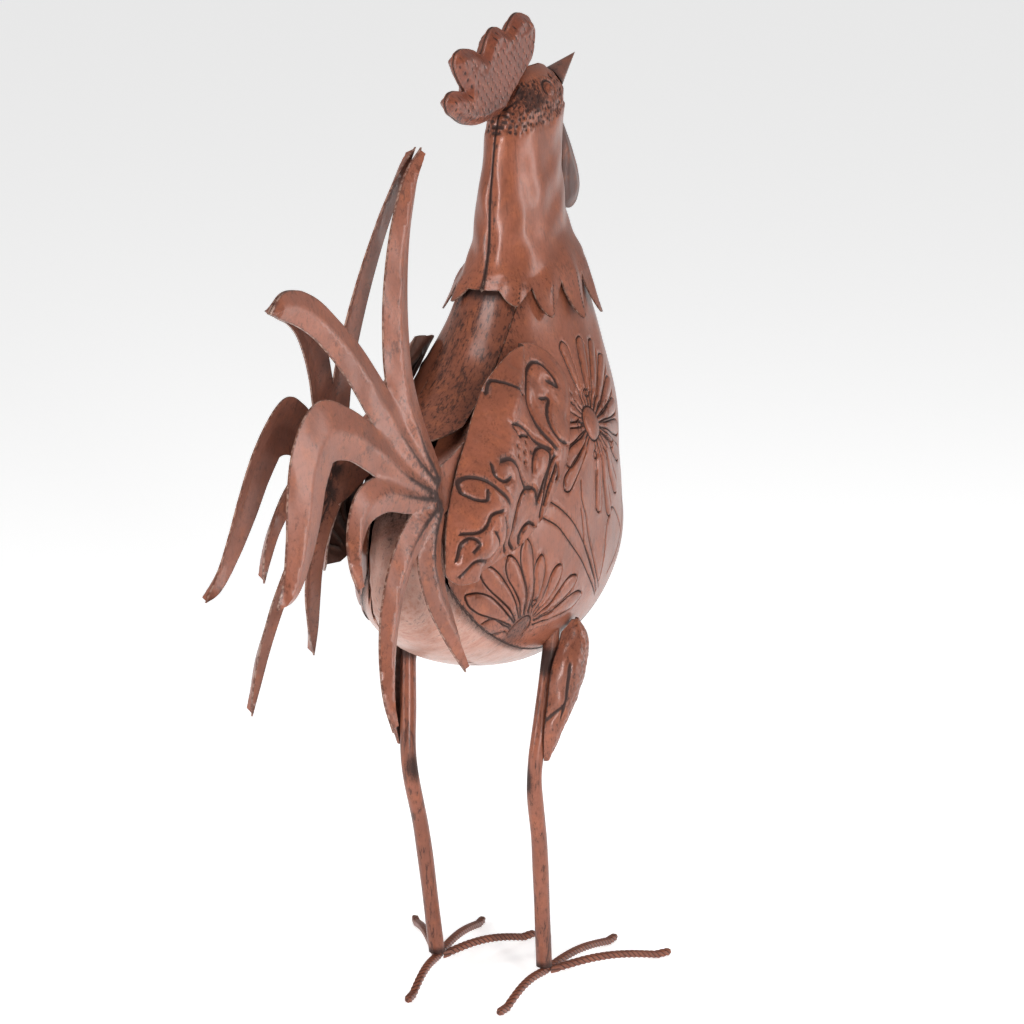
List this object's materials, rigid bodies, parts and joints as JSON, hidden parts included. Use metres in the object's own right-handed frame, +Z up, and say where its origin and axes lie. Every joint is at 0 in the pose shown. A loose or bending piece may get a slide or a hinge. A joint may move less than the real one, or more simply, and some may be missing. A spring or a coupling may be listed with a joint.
{
  "type": "garden rooster figure",
  "caption": "Standing metal rooster garden figure with a hollow embossed body, plate wings, a fan of creased tail feathers, tube legs and twisted rod toes.",
  "frame": {"origin": "on the ground, under the middle of the figure's bounding box", "axes": "+Z up, -Y the way the rooster faces, +X its left side"},
  "size_m": [0.1688, 0.473, 0.5655],
  "materials": {
    "rust_paint": "satin rust-brown paint over embossed sheet, brushed dark in the creases",
    "belly_paint": "paler brushed satin paint",
    "comb_paint": "satin rust-brown paint",
    "tail_paint": "satin rust-brown paint, darker at the root",
    "leg_paint": "satin rust-brown paint"
  },
  "bodies": {
    "root": {"body_side_right": "rust_paint", "body_side_left": "rust_paint", "back_panel": "rust_paint", "belly_panel": "belly_paint", "neck_half_right": "rust_paint", "neck_half_left": "rust_paint", "comb_right": "comb_paint", "comb_left": "comb_paint", "beak": "rust_paint", "wattle_right": "comb_paint", "wattle_left": "comb_paint", "wing_right": "rust_paint", "wing_left": "rust_paint", "tail_plate_right": "tail_paint", "tail_plate_left": "tail_paint", "leg_right": "leg_paint", "leg_left": "leg_paint", "thigh_shell_right": "leg_paint", "thigh_shell_left": "leg_paint", "toe_right_front": "leg_paint", "toe_right_outer": "leg_paint", "toe_right_inner": "leg_paint", "toe_right_back": "leg_paint", "toe_left_front": "leg_paint", "toe_left_outer": "leg_paint", "toe_left_inner": "leg_paint", "toe_left_back": "leg_paint"}
  },
  "joints": []
}
